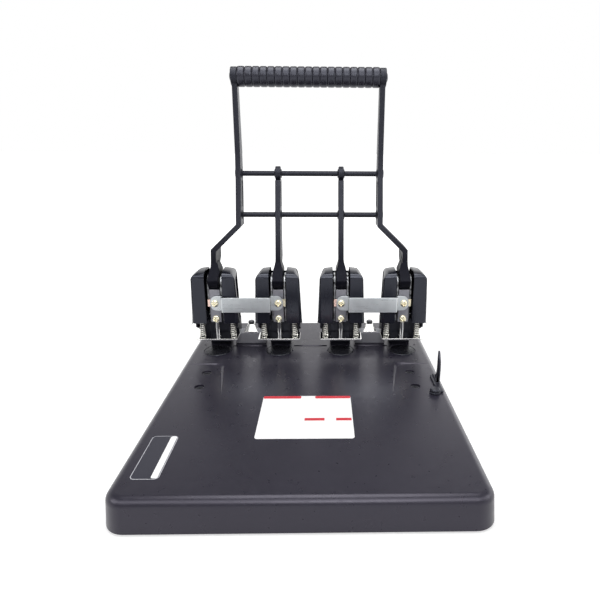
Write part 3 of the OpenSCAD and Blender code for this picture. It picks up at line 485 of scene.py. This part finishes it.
# %% Copy the rigid pieces
EDGE_MM = {"base_cover": 0.3, "paper_stops": 0.6, "stop_brackets": 0.25, "side_guide": 0.5, "guide_knob": 0.25,
           "punch_discs": 0.3, "cheek_brackets": 0.45, "pressure_plate": 0.3, "strap": 0.4, "strap_clips": 0.25,
           "slider": 0.5, "lever_arm": 0.7, "head_casting": 0.7, "head_cover": 0.45, "cross_rod": 0.4,
           "handle_bolts": 0.3, "stop_knobs": 0.3, "pocket_screws": 0.12, "punches": 0.05}
MERGE_M, FLAT_DEG = 1e-6, 0.3


def bare(node):
    """A node's name without its number or side, as the table of edges has it."""
    stem, _, tail = node.rpartition("_")
    return stem if tail.isdigit() or tail in ("left", "right", "lower", "upper") else node


def merged_copy(node):
    """The node's mesh with its loose triangles merged and those in one plane joined to larger faces."""
    mesh = frame["nodes"][node].data.copy()
    mesh.name = "soft_" + node
    work = bmesh.new()
    work.from_mesh(mesh)
    bmesh.ops.remove_doubles(work, verts=work.verts, dist=MERGE_M)
    bmesh.ops.dissolve_limit(work, angle_limit=math.radians(FLAT_DEG), verts=work.verts, edges=work.edges)
    work.to_mesh(mesh)
    work.free()
    mesh.polygons.foreach_set("use_smooth", np.ones(len(mesh.polygons), bool))
    return mesh


def dress(mesh, node):
    """An object for a mesh that takes the node's finish and stands for it."""
    mesh.materials.clear()
    mesh.materials.append(SPECIAL.get(bare(node), FINISH[SLOT_OF[node]]))
    piece = bpy.data.objects.new(mesh.name, mesh)
    bpy.context.scene.collection.objects.link(piece)
    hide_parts(node)
    return piece


soft = {node: dress(merged_copy(node), node) for node in frame["nodes"] if bare(node) in EDGE_MM}
print("copies:", len(soft), "rigid pieces")

# %% [markdown]
# ## Moulded covers
#
# A cover is a plastic moulding with a crowned top, and its sides draw in to the rear so that it leaves the mould. A
# subdivision cage could model that, but the copy already has the right outline. It only needs points to bend: its
# faces are cut into slices, and a formula lifts the top and moves the sides.

# %% Mould the covers
DOME_RISE, DOME_DEEP, SLICES = 4.5, 12.0, 10
COVER_FRONT, COVER_SLOT, COVER_HALF, DRAW_IN = 5.0, 11.0, 29.0, 0.11


def points_of(mesh):
    """The places of a mesh's vertices, one row each."""
    place = np.empty(3 * len(mesh.vertices), np.float32)
    mesh.vertices.foreach_get("co", place)
    return place.reshape(-1, 3)


def sliced(mesh, places):
    """Cuts the faces of a mesh along planes of constant y, so that a bend along y has points to follow."""
    work = bmesh.new()
    work.from_mesh(mesh)
    for y in places:
        bmesh.ops.bisect_plane(work, geom=work.verts[:] + work.edges[:] + work.faces[:], plane_co=(0, y, 0),
                               plane_no=(0, 1, 0))
    work.to_mesh(mesh)
    work.free()


def mould(mesh):
    """Domes a cover's top by rise * (1 - (x/a)^2) * (1 - (y/b)^2), faded in below it, and draws its sides in."""
    low, high = points_of(mesh).min(axis=0), points_of(mesh).max(axis=0)
    sliced(mesh, np.linspace(low[1], high[1], SLICES + 1)[1:-1])
    place, half = points_of(mesh), (high - low) / 2
    x, y = (place - (low + high) / 2)[:, :2].T
    share = np.clip((place[:, 2] - high[2]) / (DOME_DEEP * MM) + 1, 0, 1)
    dome = np.maximum(1 - (x / half[0]) ** 2, 0) * np.maximum(1 - (y / half[1]) ** 2, 0)
    place[:, 2] += share ** 2 * (3 - 2 * share) * DOME_RISE * MM * dome
    behind = np.maximum(place[:, 1] - low[1] - COVER_FRONT * MM, 0)
    outer = np.clip((np.abs(x) / MM - COVER_SLOT) / (COVER_HALF - COVER_SLOT), 0, 1)
    place[:, 0] -= np.sign(x) * DRAW_IN * behind * outer
    mesh.vertices.foreach_set("co", place.ravel())


for n in HEADS:
    mould(soft[f"head_cover_{n}"].data)
print("covers:", len(HEADS), "with a crown of", DOME_RISE, "mm")

# %% [markdown]
# ## Folded straps
#
# A strap is sheet metal, so it has a round fold where its pads step back. A curve with a thickness could draw the
# folded sheet, but the copy has its screw holes already. So the edges of the folds are found by their place and get
# a weight, and a wide Bevel modifier follows the weight.

# %% Fold the straps
FOLD_MM, FOLD_STEPS, TOUCH_MM = 2.0, 4, 0.01


def round_edges(piece, width, steps, **limit):
    """A Bevel modifier of a width in mm on the edges that the limit picks."""
    edge = piece.modifiers.new("round_edges", "BEVEL")
    edge.width, edge.segments, edge.use_clamp_overlap = width * MM, steps, False
    for name, value in limit.items():
        setattr(edge, name, value)


def mark_folds(mesh):
    """Weights the upright edges on a strap's front plane, where the sheet is folded."""
    place = points_of(mesh)
    ends = np.empty(2 * len(mesh.edges), np.int32)
    mesh.edges.foreach_get("vertices", ends)
    first, last = place[ends.reshape(-1, 2)].transpose(1, 0, 2)
    level = np.abs(first - last)[:, :2].max(axis=1) < TOUCH_MM * MM
    folded = level & (first[:, 1] < place[:, 1].min() + TOUCH_MM * MM)
    mesh.attributes.new("bevel_weight_edge", "FLOAT", "EDGE").data.foreach_set("value", folded.astype(np.float32))


for side in SIDES:
    mark_folds(soft["strap_" + side].data)
    round_edges(soft["strap_" + side], FOLD_MM, FOLD_STEPS, limit_method="WEIGHT")
print("straps:", len(SIDES), "with folds of", FOLD_MM, "mm")

# %% [markdown]
# ## Pressed deck
#
# The deck is a pressing: the inner walls of its pockets lead inwards to the front, and its low rear step is a slope.
# Sculpting would do for one picture, but here only a few corners have to move, and they are found by their place.
# The slopes are shaded flat. A smooth normal would mix their light with that of the floor beside them, and their thin
# bright lines would be lost.

# %% Press the deck
POCKET_END, POCKET_MOVED, NEAR_MM = (105.9, -29.8), 92.4, 0.3
STEP_Y, STEP_RUN = 102.25, 1.35
SLOPE_COS, SLOPE_X, SLOPE_Y = (0.84, 0.97), 149.0, (-170.0, 104.0)


def faces_of(mesh, what):
    """Three numbers for each face of a mesh, one row each: its normal or its center."""
    value = np.empty(3 * len(mesh.polygons), np.float32)
    mesh.polygons.foreach_get(what, value)
    return value.reshape(-1, 3)


def press_deck(mesh):
    """Leads the front end of each pocket's inner wall inwards, and slopes the low step of the rear deck."""
    x, y, z = points_of(mesh).T / MM
    on_deck = abs(z - DECK_Z) < TOUCH_MM
    ends = on_deck & (np.hypot(abs(x) - POCKET_END[0], y - POCKET_END[1]) < NEAR_MM)
    foot = on_deck & (abs(y - STEP_Y) < TOUCH_MM)
    x = np.where(ends, np.sign(x) * POCKET_MOVED, x)
    y = np.where(foot, y - STEP_RUN, y)
    mesh.vertices.foreach_set("co", (np.column_stack([x, y, z]) * MM).astype(np.float32).ravel())
    mesh.update()
    print("deck:", int(ends.sum()), "pocket ends and", int(foot.sum()), "corners of the step moved")


def crisp_slopes(mesh):
    """Shades the sloped walls of the pockets and the step flat, so that each keeps its own light."""
    rise = faces_of(mesh, "normal")[:, 2]
    x, y = faces_of(mesh, "center")[:, :2].T / MM
    slope = (rise > SLOPE_COS[0]) & (rise < SLOPE_COS[1])
    slope &= (abs(x) < SLOPE_X) & (y > SLOPE_Y[0]) & (y < SLOPE_Y[1])
    mesh.polygons.foreach_set("use_smooth", ~slope)
    print("slopes:", int(slope.sum()), "flat faces")


press_deck(soft["base_cover"].data)
crisp_slopes(soft["base_cover"].data)

# %% [markdown]
# ## Rounded edges
#
# A CAD edge is a line without width, and no real edge is. Castings, pressings and mouldings all catch a thin line
# of light where two faces meet. A boolean or a remesh could round them, but a Bevel modifier on a merged copy keeps
# every size: it only takes a sliver off the edge. Weighted normals then keep the large faces flat beside it.

# %% Round the rigid pieces
SHARP_DEG, EDGE_STEPS, FACE_WEIGHT = 32, 2, 90

for node, piece in soft.items():
    round_edges(piece, EDGE_MM[bare(node)], EDGE_STEPS, limit_method="ANGLE", angle_limit=math.radians(SHARP_DEG))
    even = piece.modifiers.new("even_normals", "WEIGHTED_NORMAL")
    even.weight, even.keep_sharp = FACE_WEIGHT, True
    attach(piece, BODY_OF[node])
print("rounded:", len(soft), "pieces")

# %% [markdown]
# ## Copper clips
#
# The clips beside the upper screws come in two colours: the left one of each pair is coppery and the right one
# yellow. Both lie in one node, so the faces on the left get a second finish.

# %% Colour the clips
for side in SIDES:
    clips = soft["strap_clips_" + side].data
    clips.materials.append(COPPER_CLIP)
    across = faces_of(clips, "center")[:, 0]
    clips.polygons.foreach_set("material_index", (across < across.mean()).astype(np.int32))
print("clips: copper on the left of", len(SIDES), "pairs")

# %% [markdown]
# ## Surfaces from grids
#
# Springs, the grip and the screws are round things, and a round thing is a grid: one parameter runs along it and
# the other runs round it. NumPy works out all the points at once. The helper joins neighbouring points to quads,
# closes the two ends, merges the poles and turns the faces outwards.

# %% Grid helper
POLE_M = 1e-7


def shell_mesh(name, shells, sharp=40):
    """One mesh from closed shells in mm, each an array [row, column, xyz] whose columns run round."""
    points, faces, start = [], [], 0
    for shell in shells:
        rows, columns = shell.shape[:2]
        index = start + np.arange(rows * columns).reshape(rows, columns)
        beside = np.roll(index, -1, axis=1)
        quads = np.stack([index[:-1], beside[:-1], beside[1:], index[1:]], axis=-1).reshape(-1, 4)
        faces += quads.tolist() + [index[0, ::-1].tolist(), index[-1].tolist()]
        points.append(shell.reshape(-1, 3) * MM)
        start += rows * columns
    mesh = bpy.data.meshes.new(name)
    mesh.from_pydata(np.concatenate(points).tolist(), [], faces)
    work = bmesh.new()
    work.from_mesh(mesh)
    bmesh.ops.remove_doubles(work, verts=work.verts, dist=POLE_M)
    bmesh.ops.recalc_face_normals(work, faces=work.faces)
    work.to_mesh(mesh)
    work.free()
    mesh.polygons.foreach_set("use_smooth", np.ones(len(mesh.polygons), bool))
    mesh.set_sharp_from_angle(angle=math.radians(sharp))
    return mesh


def box_mm(node):
    """The node's lowest and highest corner in mm."""
    low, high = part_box(node)
    return np.array(low) / MM, np.array(high) / MM


# %% [markdown]
# ## Springs
#
# A compression spring is wound from round wire, and its last turns lie flat so that it stands upright. A screw
# modifier could wind it, but not the flat ends. Here a circle is carried along a path whose height is almost still
# over the end turns. Each spring stands between two bodies, but its mesh is wound once and stays where it is.

# %% Wind the springs
END_TURNS, TURN_STEPS, WIRE_STEPS = 0.8, 30, 12
PLATE_WIRE, PLATE_TURNS = 1.25, 7.6
RETURN_WIRE, RETURN_TURNS = 1.2, 7.6


def coil(x, y, low, high, across, wire, turns):
    """Angle grows evenly. Height rises by a wire over each end and evenly between. A circle follows the path."""
    turn = np.linspace(0, turns, int(turns * TURN_STEPS) + 1)
    rise = np.interp(turn, [0, END_TURNS, turns - END_TURNS, turns],
                     [low + wire / 2, low + 1.5 * wire, high - 1.5 * wire, high - wire / 2])
    angle = 2 * np.pi * turn
    out = np.stack([np.cos(angle), np.sin(angle), np.zeros_like(angle)], axis=-1)
    path = np.array([x, y, 0.0]) + (across - wire) / 2 * out + rise[:, None] * np.array([0.0, 0.0, 1.0])
    along = np.gradient(path, axis=0)
    over = np.cross(along / np.linalg.norm(along, axis=1, keepdims=True), out)
    ring = np.linspace(0, 2 * np.pi, WIRE_STEPS, endpoint=False)
    return path[:, None] + wire / 2 * (np.cos(ring)[:, None] * out[:, None] + np.sin(ring)[:, None] * over[:, None])


def spring_pair(node, wire, turns):
    """Two coils at the ends of the node's box, wound from its lowest height to its highest."""
    low, high = box_mm(node)
    across, y = high[1] - low[1], (low[1] + high[1]) / 2
    places = (low[0] + across / 2, high[0] - across / 2)
    mesh = shell_mesh("wound_" + node, [coil(x, y, low[2], high[2], across, wire, turns) for x in places])
    piece = dress(mesh, node)
    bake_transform(piece)
    return piece


springs = [spring_pair(f"plate_springs_{n}", PLATE_WIRE, PLATE_TURNS) for n in HEADS]
springs += [spring_pair(f"return_springs_{side}", RETURN_WIRE, RETURN_TURNS)
            for side in SIDES]
print("springs:", len(springs), "pairs,", sum(len(piece.data.polygons) for piece in springs), "faces")

# %% [markdown]
# ## Grip
#
# The grip is a rubber sleeve with a row of rounded ribs and narrow grooves. It is a profile turned about the rod:
# within each rib the radius stays full and falls away steeply at the two ends.

# %% Turn the grip
RIBS, GROOVE, ROD_R = 19, 1.2, 6.05
RIB_STEPS, RIB_POWER, GRIP_STEPS = 18, 6, 72


def ribbed_sleeve(low, high):
    """Radius along the axis: full radius less the groove times |2f - 1|^p, f the place within a rib from 0 to 1."""
    full, mid = (high[1] - low[1]) / 2, (low + high) / 2
    place = np.linspace(0, RIBS, RIBS * RIB_STEPS + 1)
    within = place - np.minimum(np.floor(place), RIBS - 1)
    radius = full - GROOVE * np.abs(2 * within - 1) ** RIB_POWER
    along = low[0] + (high[0] - low[0]) * place / RIBS
    radius = np.concatenate([[ROD_R], radius, [ROD_R]])
    along = np.concatenate([along[:1], along, along[-1:]])
    turn = np.linspace(0, 2 * np.pi, GRIP_STEPS, endpoint=False)
    return np.stack([np.broadcast_to(along[:, None], (len(along), len(turn))),
                     mid[1] + radius[:, None] * np.cos(turn), mid[2] + radius[:, None] * np.sin(turn)], axis=-1)


grip = dress(shell_mesh("ribbed_grip", [ribbed_sleeve(*box_mm("handle_grip"))], sharp=60), "handle_grip")
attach(grip, BODY_OF["handle_grip"])
print("grip:", RIBS, "ribs,", len(grip.data.polygons), "faces")

# %% [markdown]
# ## Screws
#
# A pan-head screw is a low dome with a cross pressed into it. As a polar grid it needs no boolean: the height at
# each point of the head is the dome less the depth of the cross, which is deep where the smaller of the two
# coordinates across the head is small.

# %% Turn the screws
HEAD_R, HEAD_H, SHANK_R = 4.7, 2.7, 2.0
CROSS_HALF, CROSS_REACH, CROSS_DEPTH, CROSS_SOFT = 0.62, 2.5, 1.4, (0.07, 0.1)
RIM_SHARE, DOME_POWER, HEAD_RINGS, HEAD_STEPS = 0.42, 2.6, 44, 80
HOLE_PITCH, HOLE_Y, STRAP_Z, CLAMP_Z = 80.0, 97.25, 94.0, 72.5
PAD_SEAT, SLIDER_SEAT = HOLE_Y - 7.5, HOLE_Y - 5.0
PAD_SHANK, CLAMP_SHANK, COVER_SHANK = 11.0, 2.0, 5.0


def pan_head(x, seat, z, shank, way):
    """Dome: rim height plus a share of (1 - (r/R)^p)^0.5. The cross is a product of two soft steps."""
    radius = HEAD_R * np.linspace(1, 0, HEAD_RINGS)
    turn = np.linspace(0, 2 * np.pi, HEAD_STEPS, endpoint=False)
    across, up_down = radius[:, None] * np.cos(turn), radius[:, None] * np.sin(turn)
    dome = HEAD_H * (RIM_SHARE + (1 - RIM_SHARE) * np.sqrt(1 - (radius / HEAD_R) ** DOME_POWER))
    narrow = np.minimum(abs(across), abs(up_down))
    wide = np.maximum(abs(across), abs(up_down))
    cross = 1 / (1 + np.exp((narrow - CROSS_HALF) / CROSS_SOFT[0]))
    cross = cross / (1 + np.exp((wide - CROSS_REACH) / CROSS_SOFT[1]))
    head = np.stack([across, dome[:, None] - CROSS_DEPTH * cross, up_down], axis=-1)
    ring = np.stack([np.cos(turn), np.zeros_like(turn), np.sin(turn)], axis=-1)
    lift = np.array([0.0, 1.0, 0.0])
    stem = np.stack([r * ring + h * lift for r, h in ((SHANK_R, -shank), (SHANK_R, 0.0), (HEAD_R, 0.0))])
    return np.array([x, seat, z]) + np.concatenate([stem, head]) * np.array([1.0, way, 1.0])


def screws(node, places, way):
    """All the screws of a node in one mesh: places are x, seat, z and shank length."""
    piece = dress(shell_mesh("turned_" + node, [pan_head(*place, way) for place in places], sharp=35), node)
    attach(piece, BODY_OF[node])
    return piece


def head_x(n):
    """The middle of a head in mm: the four lie at the pitch of the holes, with the origin halfway."""
    return (n - sum(HEADS) / len(HEADS)) * HOLE_PITCH


spots = ((PAD_SEAT, STRAP_Z, PAD_SHANK), (SLIDER_SEAT, CLAMP_Z, CLAMP_SHANK))
fasteners = [screws(f"carriage_screws_{side}", [(head_x(n), *spot) for n in pair for spot in spots], -1.0)
             for side, pair in SIDES.items()]
back_seat, back_z = box_mm("head_cover_1")[1][1], sum(box_mm("cover_screws")[i][2] for i in (0, 1)) / 2
fasteners.append(screws("cover_screws", [(head_x(n), back_seat, back_z, COVER_SHANK) for n in HEADS], 1.0))
print("screws:", [piece.name for piece in fasteners])

# %% [markdown]
# ## Labels
#
# A white label with red bands lies in front of the heads, and a dark one with a silver outline near the front
# left corner. Both are left blank: plain printed sheets. Each colour is a thin slab with round corners, a little
# higher than the one below it, which is how layers of print lie.

# %% Stick the labels on the deck
SHEET, CORNER_STEPS = 0.15, 9
PRINT = {
    "label_white": coat("label_white", (0.93, 0.93, 0.93), (0.96, 0.96, 0.96), (0.36, 0.44), 900, 0.004),
    "label_red": coat("label_red", (0.60, 0.030, 0.045), (0.66, 0.040, 0.055), (0.36, 0.44), 900, 0.004),
    "label_silver": coat("label_silver", (0.50, 0.50, 0.54), (0.58, 0.58, 0.62), (0.30, 0.40), 900, 0.004),
    "label_dark": coat("label_dark", (0.022, 0.021, 0.032), (0.028, 0.027, 0.038), (0.34, 0.42), 900, 0.004),
}


def sheet_outline(x0, y0, x1, y1, r):
    """Quarter circles of radius r about four centres set in from the corners, in turn anticlockwise."""
    step = np.linspace(0, np.pi / 2, CORNER_STEPS)
    centres = ((x1 - r, y1 - r), (x0 + r, y1 - r), (x0 + r, y0 + r), (x1 - r, y0 + r))
    arcs = [np.stack([cx + r * np.cos(step + k * np.pi / 2), cy + r * np.sin(step + k * np.pi / 2)], axis=-1)
            for k, (cx, cy) in enumerate(centres)]
    return np.concatenate(arcs)


def printed(name, colour, layer, corners, r):
    """A slab over an outline, from the deck up to its layer's height."""
    flat = sheet_outline(*corners, r)
    rows = [np.column_stack([flat, np.full(len(flat), DECK_Z + z)]) for z in (0.0, SHEET * layer)]
    mesh = shell_mesh(name, [np.stack(rows)], sharp=30)
    mesh.materials.append(PRINT[colour])
    piece = bpy.data.objects.new(name, mesh)
    bpy.context.scene.collection.objects.link(piece)
    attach(piece, "base")
    return piece


stickers = [
    printed("label_sheet", "label_white", 1, (-46.2, -113.0, 46.2, -34.0), 3.0),
    printed("label_head_band_left", "label_red", 2, (-45.9, -39.3, -6.2, -34.3), 1.2),
    printed("label_head_band_right", "label_red", 2, (8.6, -39.3, 45.9, -34.3), 1.2),
    printed("label_side_band_left", "label_red", 2, (-1.2, -82.5, 18.4, -78.0), 0.4),
    printed("label_side_band_right", "label_red", 2, (29.8, -82.5, 45.0, -78.0), 0.4),
    printed("panel_outline", "label_silver", 1, (-139.4, -168.4, -115.8, -107.4), 4.0),
    printed("panel_sheet", "label_dark", 2, (-138.7, -167.7, -116.5, -108.1), 3.3),
    printed("panel_band", "label_white", 3, (-122.4, -167.4, -116.8, -108.4), 2.0),
]
print("labels:", len(stickers), "sheets")

# %% [markdown]
# ## Webs of the castings
#
# Below each cover the photograph shows a dark mass behind the springs. The skirts of the castings are its sides. A
# thin web on each side joins a skirt to the neck and closes the view, as a rib of the same casting would.

# %% Close the castings below the covers
WEB_X, WEB_Y, WEB_Z, WEB_R = (13.4, 24.7), (112.0, 114.5), (44.0, 76.0), 2.0


def web(n, side):
    """A slab between two heights and two places across, upright behind the springs of a head."""
    x0, x1 = sorted(head_x(n) + side * x for x in WEB_X)
    flat = sheet_outline(x0, WEB_Z[0], x1, WEB_Z[1], WEB_R)
    return np.stack([np.column_stack([flat[:, 0], np.full(len(flat), y), flat[:, 1]]) for y in WEB_Y])


slabs = [web(n, side) for n in HEADS for side in (-1, 1)]
webs = bpy.data.objects.new("casting_webs", shell_mesh("casting_webs", slabs, sharp=30))
bpy.context.scene.collection.objects.link(webs)
webs.data.materials.append(FINISH["cast_black"])
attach(webs, "base")
print("webs:", len(slabs), "of the castings")
